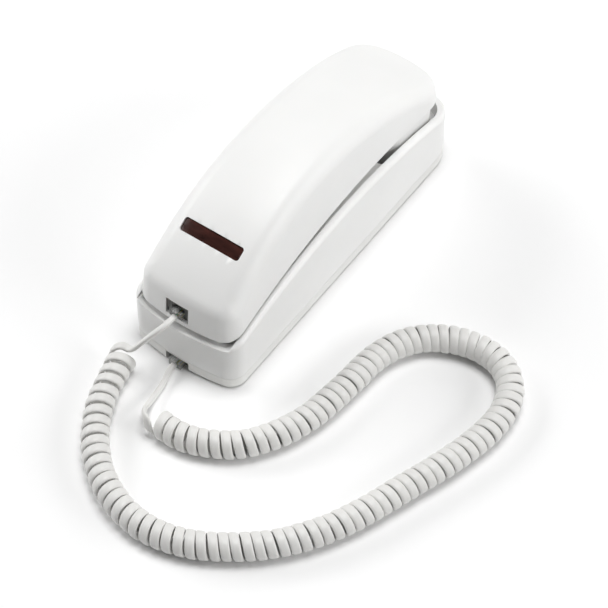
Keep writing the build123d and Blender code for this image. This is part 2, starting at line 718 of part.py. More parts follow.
# ---------------------------------------------------------------- keys, one solid and one joint each
def key(size, cx, cy):
    """Cap below the grip face, flange above it, and a stem up to the membrane."""
    face_z = grip_z(cy)
    flange_z = face_z + FACE_WALL + 0.6
    with BuildPart() as cap:
        with BuildSketch(Plane.XY.offset(face_z - KEY_PROUD)):
            with Locations((cx, cy)):
                RectangleRounded(size[0], size[1], 1.0)
        extrude(amount=flange_z - face_z + KEY_PROUD)
        fillet(cap.edges().group_by(Axis.Z)[0], 0.5)
        with BuildSketch(Plane.XY.offset(flange_z)):
            with Locations((cx, cy)):
                RectangleRounded(size[0] + 2.0, size[1] + 1.6, 1.0)
        extrude(amount=0.9)
        with BuildSketch(Plane.XY.offset(flange_z + 0.9)):
            with Locations((cx, cy)):
                Circle(2.4)
        extrude(amount=KEY_STEM_TOP_Z - flange_z - 0.9)
    return cap.part


KEY_NAMES = [
    ["key_star", "key_0", "key_hash"],
    ["key_7", "key_8", "key_9"],
    ["key_4", "key_5", "key_6"],
    ["key_1", "key_2", "key_3"],
]
for row_y, names in zip(KEY_ROWS, KEY_NAMES):
    for key_x, key_name in zip(KEY_COLUMNS, names):
        save(key(KEY_SIZE, key_x, row_y), key_name)
for key_x, key_name in zip(FUNCTION_COLUMNS, ["key_flash", "key_redial"]):
    save(key(FUNCTION_KEY_SIZE, key_x, FUNCTION_KEY_Y), key_name)

PAD_Y = (KEY_FIRST_Y + FUNCTION_KEY_Y) / 2
with BuildPart() as keypad_membrane:
    with BuildSketch(Plane.XY.offset(MEMBRANE_Z)):
        with Locations((0, PAD_Y)):
            RectangleRounded(43.0, 62.0, 2.0)
    extrude(amount=MEMBRANE_T)
    with BuildSketch(Plane.XY.offset(MEMBRANE_Z - 0.2)):
        for row_y in KEY_ROWS:
            with Locations(*[(kx, row_y) for kx in KEY_COLUMNS]):
                Circle(3.4)
        with Locations(*[(kx, FUNCTION_KEY_Y) for kx in FUNCTION_COLUMNS]):
            Circle(3.4)
    extrude(amount=0.2)
save(keypad_membrane.part, "keypad_membrane")

HS_BOARD_Z = MEMBRANE_Z + MEMBRANE_T
with BuildPart() as handset_board:
    with BuildSketch(Plane.XY.offset(HS_BOARD_Z)):
        with Locations((0, -12)):
            RectangleRounded(44.0, 82.0, 2.0)
    extrude(amount=BOARD_T)
save(handset_board.part, "handset_board")

with BuildPart() as dial_chip:
    with BuildSketch(Plane.XY.offset(HS_BOARD_Z + BOARD_T + 0.4)):
        with Locations((0, -20)):
            Rectangle(20, 6.4)
    extrude(amount=3.2)
    with BuildSketch(Plane.XY.offset(HS_BOARD_Z + BOARD_T)):
        with Locations((0, -20)):
            with GridLocations(2.54, 7.6, 8, 2):
                Rectangle(0.5, 0.5)
    extrude(amount=2.4)
    with BuildSketch(Plane.XY.offset(HS_BOARD_Z + BOARD_T + 1.6)):
        with Locations((0, -20)):
            with GridLocations(2.54, 0, 8, 1):
                Rectangle(0.5, 8.1)
    extrude(amount=0.4)
save(dial_chip.part, "dial_chip")

# ---------------------------------------------------------------- receiver, microphone, weight
CAPSULE_R = 17.0
with BuildPart() as receiver_gasket:
    with BuildSketch(Plane.XY.offset(EAR_FACE_Z + FACE_WALL)):
        with Locations((0, EAR_CENTRE_Y)):
            Circle(CAPSULE_R - 0.5)
            Circle(CAPSULE_R - 4.0, mode=Mode.SUBTRACT)
    extrude(amount=1.5)
save(receiver_gasket.part, "receiver_gasket")
with BuildPart() as receiver:
    capsule_z = EAR_FACE_Z + FACE_WALL + 1.5
    with BuildSketch(Plane.XY.offset(capsule_z)):
        with Locations((0, EAR_CENTRE_Y)):
            Circle(CAPSULE_R)
    extrude(amount=5.0)
    with BuildSketch(Plane.XY.offset(capsule_z + 5.0)):
        with Locations((0, EAR_CENTRE_Y)):
            Circle(11.0)
    extrude(amount=5.0)
    fillet(receiver.edges().group_by(Axis.Z)[-1], 1.0)
save(receiver.part, "receiver_capsule")
with BuildPart() as mic_boot:
    with BuildSketch(Plane.XY.offset(MOUTH_FACE_Z + FACE_WALL)):
        with Locations((0, MOUTH_CENTRE_Y)):
            Circle(7.5)
            Circle(4.9, mode=Mode.SUBTRACT)
    extrude(amount=6.0)
save(mic_boot.part, "microphone_boot")
with BuildPart() as microphone:
    with BuildSketch(Plane.XY.offset(MOUTH_FACE_Z + FACE_WALL + 1.0)):
        with Locations((0, MOUTH_CENTRE_Y)):
            Circle(4.85)
    extrude(amount=4.5)
save(microphone.part, "microphone")
with BuildPart() as handset_weight:
    with BuildSketch(Plane.XY.offset(HS_BOARD_Z + 14)):
        with Locations((0, 6)):
            RectangleRounded(30.0, 46.0, 2.0)
    extrude(amount=5.0)
    add(slab((-5, -10, HS_BOARD_Z + BOARD_T), (5, -4, HS_BOARD_Z + 14)))
save(handset_weight.part, "handset_weight")

# ---------------------------------------------------------------- volume switch, left side
with BuildPart() as volume_switch:
    add(slab((-24.2, VOLUME_Y - 10, VOLUME_Z - 4), (-20.0, VOLUME_Y + 10, VOLUME_Z + 4)))
save(volume_switch.part, "volume_switch_body")
with BuildPart() as volume_knob:
    volume_y = VOLUME_Y - VOLUME_TRAVEL / 2
    add(slab((-28.8, volume_y - 2.5, VOLUME_Z - 2.0), (-27.6, volume_y + 2.5, VOLUME_Z + 2.0)))
    add(slab((-27.6, volume_y - 2.0, VOLUME_Z - 0.9), (-24.8, volume_y + 2.0, VOLUME_Z + 0.9)))
save(volume_knob.part, "volume_knob")

# ---------------------------------------------------------------- modular jacks and plugs
def jack(front_y, centre_z, low, high):
    """Moulded jack block with a socket and its latch slot, opening towards the cord end."""
    with BuildPart() as block:
        half = JACK_WIDTH / 2
        add(slab((JACK_X - half, front_y, low), (JACK_X + half, front_y + JACK_DEPTH, high)))
        add(
            slab(
                (JACK_X - SOCKET_WIDTH / 2, front_y - 1, centre_z - PLUG_HEIGHT / 2 - 0.15),
                (JACK_X + SOCKET_WIDTH / 2, front_y + JACK_DEPTH - 2, centre_z + PLUG_HEIGHT / 2 + 0.15),
            ),
            mode=Mode.SUBTRACT,
        )
        add(
            slab(
                (JACK_X - 1.8, front_y - 1, centre_z + PLUG_HEIGHT / 2),
                (JACK_X + 1.8, front_y + JACK_DEPTH - 2, centre_z + PLUG_HEIGHT / 2 + 1.5),
            ),
            mode=Mode.SUBTRACT,
        )
    return block.part


def plug(front_y, centre_z, proud):
    """Clear modular plug, pushed home, standing proud of its jack, with its latch tongue."""
    back = front_y - proud
    low = centre_z - PLUG_HEIGHT / 2
    high = centre_z + PLUG_HEIGHT / 2 - 1.2
    with BuildPart() as body:
        half = PLUG_WIDTH / 2
        nose = back + PLUG_LENGTH - 1
        add(slab((JACK_X - half, back, low), (JACK_X + half, nose + 1, high)))
        add(slab((JACK_X - 1.5, back - 1.5, high + 0.4), (JACK_X + 1.5, nose, high + 1.1)))
        add(slab((JACK_X - 1.5, nose - 1.2, high), (JACK_X + 1.5, nose, high + 0.5)))
    return body.part


def contacts(front_y, centre_z, count=4):
    """Gold spring wires in the roof of the socket's back wall, over the plug."""
    with BuildPart() as wires:
        with BuildSketch(Plane.XZ.offset(-(front_y + JACK_DEPTH - 2))):
            with Locations((JACK_X, centre_z)):
                with GridLocations(1.02, 0, count, 1):
                    Rectangle(0.4, 0.4)
        extrude(amount=0.8)
    return wires.part


HS_JACK_FRONT = HS_CORD_Y + 2.0
BASE_JACK_FRONT = -LENGTH / 2 + WALL + 0.5
handset_jack = jack(HS_JACK_FRONT, HS_JACK_Z, HS_JACK_Z - 4.3, HS_JACK_Z + 5.8)
save(handset_jack, "handset_jack")
save(plug(HS_JACK_FRONT, HS_JACK_Z, HS_PLUG_PROUD), "handset_cord_plug")
base_jack = jack(BASE_JACK_FRONT, BASE_JACK_Z, BASE_JACK_Z - 3.7, BASE_JACK_Z + 5.4)
save(base_jack, "base_cord_jack")
save(plug(BASE_JACK_FRONT, BASE_JACK_Z, BASE_PLUG_PROUD), "base_cord_plug")
save(contacts(HS_JACK_FRONT, HS_JACK_Z), "handset_jack_contacts")
save(contacts(BASE_JACK_FRONT, BASE_JACK_Z), "base_jack_contacts")

# line jack, above the pocket in the back plate; its socket faces the cord end
with BuildPart() as line_jack:
    line_low = PLATE_BOTTOM_Z + 0.8
    add(slab((-7.5, LINE_JACK_Y, line_low), (7.5, LINE_JACK_Y + 13, BOARD_Z)))
    socket = slab((-4.85, LINE_JACK_Y - 1, line_low + 1.2), (4.85, LINE_JACK_Y + 11, line_low + 7.9))
    add(socket, mode=Mode.SUBTRACT)
save(line_jack.part, "line_jack")

# ---------------------------------------------------------------- cord
def cord_radii(points):
    """Bend radius at each inner point: 0.45 of its shorter run over the tangent of half the turn."""
    radii = []
    for before, here, after in zip(points, points[1:], points[2:]):
        first = Vector(*here) - Vector(*before)
        second = Vector(*after) - Vector(*here)
        half_turn = math.radians(first.get_angle(second)) / 2
        radii.append(0.45 * min(first.length, second.length) / math.tan(half_turn))
    return radii


def tube(points, diameter, name):
    """Round tube along straight runs joined by tangent arcs."""
    radii = cord_radii(points)
    with BuildPart() as solid:
        with BuildLine() as path:
            FilletPolyline(*points, radius=radii)
        route = path.wires()[0]
        with BuildSketch(Plane(origin=route @ 0, z_dir=route % 0)):
            Circle(diameter / 2)
        sweep(path=route)
    expected = math.pi * diameter**2 / 4 * route.length
    print(name, "bend radii", [round(r, 1) for r in radii], "length", round(route.length, 1))
    print(name, "volume", round(solid.part.volume), "section times length", round(expected))
    save(solid.part, name)


COIL_Z = COIL_D / 2
COIL_ROUTE = [
    (-24.4, -121.5, COIL_Z),
    (-20.2, -143.5, COIL_Z),
    (-11.5, -162.5, COIL_Z),
    (0.6, -178.2, COIL_Z),
    (14.7, -189.5, COIL_Z),
    (31.2, -197.0, COIL_Z),
    (50.0, -199.7, COIL_Z),
    (71.0, -195.0, COIL_Z),
    (89.5, -184.0, COIL_Z),
    (105.5, -171.0, COIL_Z),
    (118.6, -154.5, COIL_Z),
    (127.8, -138.0, COIL_Z),
    (134.6, -121.0, COIL_Z),
    (140.5, -103.5, COIL_Z),
    (147.0, -86.2, COIL_Z),
    (152.2, -69.0, COIL_Z),
    (156.0, -51.5, COIL_Z),
    (156.2, -35.5, COIL_Z),
    (151.0, -21.5, COIL_Z),
    (140.5, -12.2, COIL_Z),
    (127.0, -9.3, COIL_Z),
    (112.0, -11.8, COIL_Z),
    (97.5, -19.5, COIL_Z),
    (87.2, -32.0, COIL_Z),
    (81.8, -47.5, COIL_Z),
    (80.9, -64.5, COIL_Z),
    (79.0, -82.0, COIL_Z),
    (76.2, -99.0, COIL_Z),
    (68.9, -116.7, COIL_Z),
    (57.5, -132.5, COIL_Z),
    (39.5, -142.7, COIL_Z),
    (25.0, -145.6, COIL_Z),
    (13.6, -143.8, COIL_Z),
]
HANDSET_LEAD = [
    (JACK_X, HS_JACK_FRONT - HS_PLUG_PROUD - PLUG_CLEARANCE, HS_JACK_Z - 1.2),
    (JACK_X, -110.3, HS_JACK_Z - 1.2),
    (-4.0, -115.2, 40.2),
    (-8.8, -118.8, 33.8),
    (-13.5, -120.8, 26.0),
    (-17.5, -122.0, 19.0),
    (-24.5, -122.6, 14.0),
]
BASE_LEAD = [
    (JACK_X, BASE_JACK_FRONT - BASE_PLUG_PROUD, 3.3),
    (JACK_X, -113.0, 3.3),
    (0.4, -121.0, 2.2),
    (1.4, -129.5, 2.6),
    (3.2, -137.0, 5.5),
    (7.0, -143.6, 8.0),
    (14.5, -148.8, 7.5),
]
tube(COIL_ROUTE, COIL_D, "curly_cord")
tube(BASE_LEAD, LEAD_D, "base_lead")
tube(HANDSET_LEAD, LEAD_D, "handset_lead")
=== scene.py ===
import math

import bmesh
import bpy
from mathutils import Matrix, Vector


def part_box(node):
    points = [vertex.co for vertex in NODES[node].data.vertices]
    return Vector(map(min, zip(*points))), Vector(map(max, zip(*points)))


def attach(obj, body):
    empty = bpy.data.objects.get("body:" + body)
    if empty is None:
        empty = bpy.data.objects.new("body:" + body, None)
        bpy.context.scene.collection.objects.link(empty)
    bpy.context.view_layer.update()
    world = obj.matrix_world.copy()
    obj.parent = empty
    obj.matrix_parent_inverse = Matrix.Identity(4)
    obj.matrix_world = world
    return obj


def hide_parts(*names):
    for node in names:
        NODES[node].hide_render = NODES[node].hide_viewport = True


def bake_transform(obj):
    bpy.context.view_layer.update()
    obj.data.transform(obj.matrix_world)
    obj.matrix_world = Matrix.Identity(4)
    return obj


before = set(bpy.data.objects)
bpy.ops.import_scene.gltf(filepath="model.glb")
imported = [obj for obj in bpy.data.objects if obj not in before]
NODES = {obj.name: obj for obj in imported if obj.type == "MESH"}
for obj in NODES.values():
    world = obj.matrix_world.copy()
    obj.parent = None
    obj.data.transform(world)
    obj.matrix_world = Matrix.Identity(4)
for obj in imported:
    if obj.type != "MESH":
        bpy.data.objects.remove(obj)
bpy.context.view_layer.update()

MM = 0.001


# ---------------------------------------------------------------- camera
AZIMUTH = math.radians(35.44)
ELEVATION = math.radians(53.0)
TARGET = Vector((0.0288, -0.0349, 0.0))
DISTANCE = 1.459

back = Vector((
    math.sin(AZIMUTH) * math.cos(ELEVATION),
    -math.cos(AZIMUTH) * math.cos(ELEVATION),
    math.sin(ELEVATION),
))
camera_data = bpy.data.cameras.new("camera")
camera_data.lens = 162.5
camera_data.sensor_width = 36.0
camera_data.clip_start = 0.05
camera_data.clip_end = 20.0
camera = bpy.data.objects.new("camera", camera_data)
camera.location = TARGET + back * DISTANCE
camera.rotation_euler = back.to_track_quat("Z", "Y").to_euler()
bpy.context.scene.collection.objects.link(camera)
bpy.context.scene.camera = camera


# ---------------------------------------------------------------- materials
def new_material(name):
    material = bpy.data.materials.new(name)
    material.use_nodes = True
    tree = material.node_tree
    return material, tree, tree.nodes["Principled BSDF"]


def noise(tree, scale, detail=3.0, roughness=0.5, stretch=(1.0, 1.0, 1.0)):
    """Noise in the object's own coordinates, in metres."""
    place = tree.nodes.new("ShaderNodeTexCoord")
    mapping = tree.nodes.new("ShaderNodeMapping")
    mapping.inputs["Scale"].default_value = stretch
    texture = tree.nodes.new("ShaderNodeTexNoise")
    texture.inputs["Scale"].default_value = scale
    texture.inputs["Detail"].default_value = detail
    texture.inputs["Roughness"].default_value = roughness
    tree.links.new(place.outputs["Object"], mapping.inputs["Vector"])
    tree.links.new(mapping.outputs["Vector"], texture.inputs["Vector"])
    return texture.outputs["Fac"]


def ramp(tree, value, stops):
    node = tree.nodes.new("ShaderNodeValToRGB")
    elements = node.color_ramp.elements
    while len(elements) > len(stops):
        elements.remove(elements[-1])
    while len(elements) < len(stops):
        elements.new(1.0)
    for element, (position, colour) in zip(elements, stops):
        element.position = position
        element.color = (*colour, 1.0)
    tree.links.new(value, node.inputs["Fac"])
    return node.outputs["Color"]


def spread_value(tree, value, low, high):
    node = tree.nodes.new("ShaderNodeMapRange")
    node.inputs["From Min"].default_value = 0.3
    node.inputs["From Max"].default_value = 0.7
    node.inputs["To Min"].default_value = low
    node.inputs["To Max"].default_value = high
    tree.links.new(value, node.inputs["Value"])
    return node.outputs["Result"]


def bump(tree, shader, value, strength, distance):
    node = tree.nodes.new("ShaderNodeBump")
    node.inputs["Strength"].default_value = strength
    node.inputs["Distance"].default_value = distance
    tree.links.new(value, node.inputs["Height"])
    tree.links.new(node.outputs["Normal"], shader.inputs["Normal"])


def moulded(name, light, dark, rough=(0.3, 0.4), grain=900.0, relief=0.15, depth=0.00008):
    """Injection-moulded plastic: slow cloudy colour change, uneven gloss, fine mould texture."""
    material, tree, shader = new_material(name)
    slow = noise(tree, 24.0, 2.0)
    tree.links.new(ramp(tree, slow, [(0.3, dark), (0.7, light)]), shader.inputs["Base Color"])
    uneven = noise(tree, 160.0, 4.0, 0.6)
    tree.links.new(spread_value(tree, uneven, *rough), shader.inputs["Roughness"])
    bump(tree, shader, noise(tree, grain, 2.0), relief, depth)
    shader.inputs["IOR"].default_value = 1.5
    return material, shader


def metal(name, light, dark, rough=(0.25, 0.45), stretch=(1.0, 1.0, 1.0)):
    material, tree, shader = new_material(name)
    brushed = noise(tree, 900.0, 3.0, 0.6, stretch)
    tree.links.new(ramp(tree, brushed, [(0.3, dark), (0.7, light)]), shader.inputs["Base Color"])
    tree.links.new(spread_value(tree, brushed, *rough), shader.inputs["Roughness"])
    bump(tree, shader, brushed, 0.2, 0.00004)
    shader.inputs["Metallic"].default_value = 1.0
    return material


white, white_shader = moulded(
    "casing_white", (0.855, 0.855, 0.845), (0.83, 0.83, 0.82), (0.40, 0.48), 1400.0, 0.10
)
white_shader.inputs["Subsurface Weight"].default_value = 0.06
white_shader.inputs["Subsurface Radius"].default_value = (0.004, 0.0035, 0.003)
white_shader.inputs["Subsurface Scale"].default_value = 0.5
plate_white, _ = moulded(
    "back_plate_white", (0.80, 0.80, 0.78), (0.76, 0.76, 0.74), (0.42, 0.55), 1100.0, 0.30, 0.0001
)
key_white, _ = moulded(
    "key_white", (0.80, 0.80, 0.78), (0.76, 0.76, 0.74), (0.32, 0.45), 1300.0, 0.2
)
knob_white, _ = moulded(
    "knob_white", (0.80, 0.80, 0.79), (0.75, 0.75, 0.74), (0.35, 0.5), 1300.0, 0.2
)
cord_white, cord_shader = moulded(
    "cord_white", (0.76, 0.755, 0.735), (0.71, 0.705, 0.685), (0.36, 0.5), 1800.0, 0.25, 0.00006
)
cord_shader.inputs["Subsurface Weight"].default_value = 0.05
cord_shader.inputs["Subsurface Radius"].default_value = (0.002, 0.0018, 0.0016)
cord_shader.inputs["Subsurface Scale"].default_value = 0.5
jack_grey, _ = moulded(
    "jack_grey", (0.075, 0.075, 0.07), (0.05, 0.05, 0.048), (0.35, 0.5), 1500.0, 0.2
)
black, _ = moulded(
    "black_plastic", (0.035, 0.035, 0.035), (0.02, 0.02, 0.02), (0.35, 0.5), 1500.0, 0.2
)
ink, _ = moulded(
    "print_grey", (0.10, 0.10, 0.105), (0.07, 0.07, 0.075), (0.5, 0.6), 2500.0, 0.1
)
rubber, _ = moulded(
    "foot_rubber", (0.045, 0.045, 0.045), (0.03, 0.03, 0.03), (0.65, 0.85), 2200.0, 0.6, 0.00015
)
silicone, _ = moulded(
    "grey_silicone", (0.30, 0.31, 0.30), (0.26, 0.27, 0.26), (0.5, 0.65), 2000.0, 0.3
)
steel = metal("zinc_steel", (0.66, 0.66, 0.67), (0.50, 0.50, 0.51), (0.28, 0.45))
brass = metal("disc_brass", (0.75, 0.58, 0.30), (0.62, 0.47, 0.22), (0.25, 0.4))
gold = metal("contact_gold", (0.90, 0.70, 0.33), (0.80, 0.60, 0.26), (0.15, 0.3))


def board_material():
    """Brown phenolic board with paler copper tracks showing through its lacquer."""
    material, tree, shader = new_material("circuit_board")
    place = tree.nodes.new("ShaderNodeTexCoord")
    tracks = tree.nodes.new("ShaderNodeTexBrick")
    tracks.inputs["Scale"].default_value = 170.0
    tracks.inputs["Mortar Size"].default_value = 0.06
    tracks.inputs["Color1"].default_value = (0.20, 0.105, 0.035, 1.0)
    tracks.inputs["Color2"].default_value = (0.24, 0.13, 0.045, 1.0)
    tracks.inputs["Mortar"].default_value = (0.42, 0.25, 0.09, 1.0)
    tree.links.new(place.outputs["Object"], tracks.inputs["Vector"])
    tree.links.new(tracks.outputs["Color"], shader.inputs["Base Color"])
    grain = noise(tree, 1200.0, 4.0)
    tree.links.new(spread_value(tree, grain, 0.3, 0.5), shader.inputs["Roughness"])
    bump(tree, shader, tracks.outputs["Fac"], 0.3, 0.0001)
    return material


def lens_material():
    """Smoked dark red window, glossy, with slightly streaky depth."""
    material, tree, shader = new_material("smoked_window")
    streaks = noise(tree, 220.0, 3.0, 0.6, (0.35, 1.0, 1.0))
    smoke = (0.020, 0.008, 0.007)
    deep_red = (0.045, 0.016, 0.013)
    red = (0.085, 0.028, 0.022)
    colour = ramp(tree, streaks, [(0.25, smoke), (0.5, deep_red), (0.8, red)])
    tree.links.new(colour, shader.inputs["Base Color"])
    tree.links.new(spread_value(tree, noise(tree, 300.0), 0.10, 0.2), shader.inputs["Roughness"])
    bump(tree, shader, noise(tree, 700.0), 0.06, 0.00005)
    shader.inputs["Coat Weight"].default_value = 0.2
    shader.inputs["Coat Roughness"].default_value = 0.06
    return material


def clear_material():
    """Clear polycarbonate of the modular plugs, seen with light in it."""
    material, tree, shader = new_material("clear_plug")
    cloud = noise(tree, 500.0, 3.0)
    colour = ramp(tree, cloud, [(0.3, (0.60, 0.61, 0.60)), (0.7, (0.86, 0.87, 0.86))])
    tree.links.new(colour, shader.inputs["Base Color"])
    tree.links.new(spread_value(tree, noise(tree, 900.0), 0.05, 0.16), shader.inputs["Roughness"])
    bump(tree, shader, noise(tree, 1500.0), 0.12, 0.0001)
    shader.inputs["Transmission Weight"].default_value = 0.75
    shader.inputs["IOR"].default_value = 1.58
    return material


def lamp_material():
    material, tree, shader = new_material("red_lamp")
    glow = noise(tree, 400.0)
    colour = ramp(tree, glow, [(0.3, (0.45, 0.05, 0.02)), (0.7, (0.65, 0.10, 0.04))])
    tree.links.new(colour, shader.inputs["Base Color"])
    tree.links.new(spread_value(tree, glow, 0.1, 0.25), shader.inputs["Roughness"])
    shader.inputs["Transmission Weight"].default_value = 0.4
    return material


board = board_material()
smoked = lens_material()
clear = clear_material()
red_lamp = lamp_material()

FINISH = {
    "back_plate": plate_white,
    "hook_plunger": knob_white,
    "ringer_switch_knob": knob_white,
    "volume_knob": knob_white,
    "rubber_feet": rubber,
    "lamp_lens": smoked,
    "lamps": red_lamp,
    "ringer_disc": brass,
    "base_cord_plug": clear,
    "handset_cord_plug": clear,
    "receiver_capsule": black,
}
GROUPS = [
    (white, ["base_housing", "handset_back_cover", "handset_face"]),
    (steel, ["base_screws", "board_screws", "handset_screws", "handset_weight", "hook_spring"]),
    (board, ["base_board", "handset_board", "lamp_board"]),
    (black, ["capacitors", "speech_chip", "bridge_rectifier", "hook_switch", "ringer_switch_body"]),
    (black, ["volume_switch_body", "dial_chip", "microphone"]),
    (jack_grey, ["base_cord_jack", "line_jack", "handset_jack"]),
    (gold, ["base_jack_contacts", "handset_jack_contacts"]),
    (silicone, ["keypad_membrane", "receiver_gasket", "microphone_boot"]),
]
for material, names in GROUPS:
    for name in names:
        FINISH[name] = material
for name, node in NODES.items():
    material = FINISH.get(name, key_white if name.startswith("key_") else white)
    node.data.materials.clear()
    node.data.materials.append(material)


def add_piece(name, data, material, body):
    piece = bpy.data.objects.new(name, data)
    bpy.context.scene.collection.objects.link(piece)
    data.materials.append(material)
    if body:
        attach(piece, body)
    return piece


# ---------------------------------------------------------------- handset cord
def spline_points(points):
    """The line of a smooth curve drawn by these control points, given in millimetres."""
    data = bpy.data.curves.new("route", "CURVE")
    data.dimensions = "3D"
    data.resolution_u = 24
    spline = data.splines.new("NURBS")
    spline.points.add(len(points) - 1)
    for point, place in zip(spline.points, points):
        point.co = (*[value * MM for value in place], 1.0)
    spline.order_u = 3
    spline.use_endpoint_u = True
    holder = bpy.data.objects.new("route", data)
    mesh = bpy.data.meshes.new_from_object(holder)
    line = [vertex.co.copy() for vertex in mesh.vertices]
    bpy.data.objects.remove(holder)
    bpy.data.curves.remove(data)
    bpy.data.meshes.remove(mesh)
    return line


def along(line):
    """Distance from the line's start, at each of its points."""
    total = [0.0]
    for here, there in zip(line, line[1:]):
        total.append(total[-1] + (there - here).length)
    return total


def at(line, marks, distance):
    """Point and direction of the line at a distance from its start."""
    low, high = 0, len(marks) - 1
    while high - low > 1:
        middle = (low + high) // 2
        if marks[middle] <= distance:
            low = middle
        else:
            high = middle
    step = marks[high] - marks[low]
    share = (distance - marks[low]) / step
    before = line[max(low - 1, 0)]
    after = line[min(high + 1, len(line) - 1)]
    return line[low].lerp(line[high], share), (after - before).normalized()


COIL_Z = 7.5
COIL_ROUTE = [
    (-24.4, -121.5, COIL_Z),
    (-20.2, -143.5, COIL_Z),
    (-11.5, -162.5, COIL_Z),
    (0.6, -178.2, COIL_Z),
    (14.7, -189.5, COIL_Z),
    (31.2, -197.0, COIL_Z),
    (50.0, -199.7, COIL_Z),
    (71.0, -195.0, COIL_Z),
    (89.5, -184.0, COIL_Z),
    (105.5, -171.0, COIL_Z),
    (118.6, -154.5, COIL_Z),
    (127.8, -138.0, COIL_Z),
    (134.6, -121.0, COIL_Z),
    (140.5, -103.5, COIL_Z),
    (147.0, -86.2, COIL_Z),
    (152.2, -69.0, COIL_Z),
    (156.0, -51.5, COIL_Z),
    (156.2, -35.5, COIL_Z),
    (151.0, -21.5, COIL_Z),
    (140.5, -12.2, COIL_Z),
    (127.0, -9.3, COIL_Z),
    (112.0, -11.8, COIL_Z),
    (97.5, -19.5, COIL_Z),
    (87.2, -32.0, COIL_Z),
    (81.8, -47.5, COIL_Z),
    (80.9, -64.5, COIL_Z),
    (79.0, -82.0, COIL_Z),
    (76.2, -99.0, COIL_Z),
    (68.9, -116.7, COIL_Z),
    (57.5, -132.5, COIL_Z),
    (39.5, -142.7, COIL_Z),
    (25.0, -145.6, COIL_Z),
    (13.6, -143.8, COIL_Z),
]
WIRE_RADIUS = 6.3 * MM
WIRE_WIDTH = 5.1 * MM
WIRE_THICK = 2.3 * MM
LEAD_WIDTH = 3.3 * MM
LEAD_THICK = 2.4 * MM
TURN_STEPS = 22
START_ANGLE = math.radians(38)
FIRST_TURN_LOOSE = 0.5 * MM
LOOSE_REACH = 9.0 * MM
LAST_TURN_SHARE = 0.80
PLAIN_PITCH = 5.45
UNEVEN_OUT = 0.12 * MM
UNEVEN_ALONG = 0.35 * MM
PITCH_SAMPLES = 4000

coil_line = spline_points(COIL_ROUTE)
coil_marks = along(coil_line)
coil_length = coil_marks[-1]


def pitch(distance):
    """The turns lie further apart near both ends of the coil, less so in its first turn."""
    start = 1.9 * math.exp(-distance / 0.070) * (1 - 0.8 * math.exp(-distance / 0.006))
    end = 0.9 * math.exp(-(coil_length - distance) / 0.030)
    return (PLAIN_PITCH + start + end) * MM


def wobble(distance):
    """Slight unevenness of the turns, the same on each run."""
    return 0.5 * math.sin(distance * 230.0) + 0.3 * math.sin(distance * 610.0 + 1.0)


turns = 0.0
for step in range(PITCH_SAMPLES):
    middle = coil_length * (step + 0.5) / PITCH_SAMPLES
    turns += coil_length / PITCH_SAMPLES / pitch(middle)
last_angle = (math.floor(turns) + LAST_TURN_SHARE) * 2 * math.pi
stretch = (last_angle - START_ANGLE) / (turns * 2 * math.pi)

helix = []
helix_out = []
angle = START_ANGLE
distance = 0.0
up = Vector((0.0, 0.0, 1.0))
while distance < coil_length:
    centre, tangent = at(coil_line, coil_marks, distance)
    side = tangent.cross(up).normalized()
    out = up * math.cos(angle) + side * math.sin(angle)
    loose = FIRST_TURN_LOOSE * math.exp(-((distance / LOOSE_REACH) ** 2))
    centre = centre + up * loose
    radius = WIRE_RADIUS + loose + UNEVEN_OUT * wobble(distance)
    lean = tangent * (UNEVEN_ALONG * wobble(distance * 1.7 + 0.4))
    helix.append(centre + out * radius + lean)
    helix_out.append(out)
    advance = 1.0 / TURN_STEPS
    angle += advance * 2 * math.pi
    distance += advance * pitch(distance) / stretch

first_way = (helix[1] - helix[0]).normalized()
last_way = (helix[-1] - helix[-2]).normalized()


def in_mm(point):
    return tuple(value / MM for value in point)


HANDSET_LEAD = [
    (-2.0, -105.15, 42.2),
    (-2.0, -110.3, 42.2),
    (-4.0, -115.2, 40.2),
    (-8.8, -118.8, 33.8),
    (-13.5, -120.8, 26.0),
    (-17.8, -121.0, 18.6),
    (-21.4, -120.9, 15.4),
]
BASE_LEAD = [
    (-2.0, -108.0, 3.3),
    (-2.0, -113.0, 3.3),
    (0.4, -121.0, 2.2),
    (1.4, -129.5, 2.6),
    (3.2, -137.0, 5.5),
    (5.0, -142.8, 8.8),
    (8.6, -147.0, 11.4),
]
before_coil = helix[0] - first_way * 4.0 * MM
past_coil = helix[-1] + last_way * 4.5 * MM
handset_lead = spline_points(HANDSET_LEAD + [in_mm(before_coil), in_mm(helix[0])])
base_lead = spline_points([in_mm(helix[-1]), in_mm(past_coil), *BASE_LEAD[::-1]])


def smooth_step(value):
    value = min(max(value, 0.0), 1.0)
    return value * value * (3 - 2 * value)


path = []
outs = []
widths = []
thicks = []


def add_lead(line, out_at_coil, towards_coil):
    """Adds a lead to the cord: flat at its plug, turning and widening into the coil's wire."""
    marks = along(line)
    count = max(12, round(marks[-1] / (1.2 * MM)))
    for index in range(count + 1):
        share = index / count
        place, _ = at(line, marks, marks[-1] * min(share, 0.99999))
        near_coil = share if towards_coil else 1 - share
        out = up.lerp(out_at_coil, smooth_step(near_coil * 1.6 - 0.6))
        path.append(place)
        outs.append(out)
        grown = smooth_step(near_coil * 2.5 - 1.6)
        widths.append(LEAD_WIDTH + (WIRE_WIDTH - LEAD_WIDTH) * grown)
        thicks.append(LEAD_THICK + (WIRE_THICK - LEAD_THICK) * grown)


add_lead(handset_lead, helix_out[0], True)
for point, out in zip(helix[1:-1], helix_out[1:-1]):
    path.append(point)
    outs.append(out)
    widths.append(WIRE_WIDTH)
    thicks.append(WIRE_THICK)
add_lead(base_lead, helix_out[-1], False)

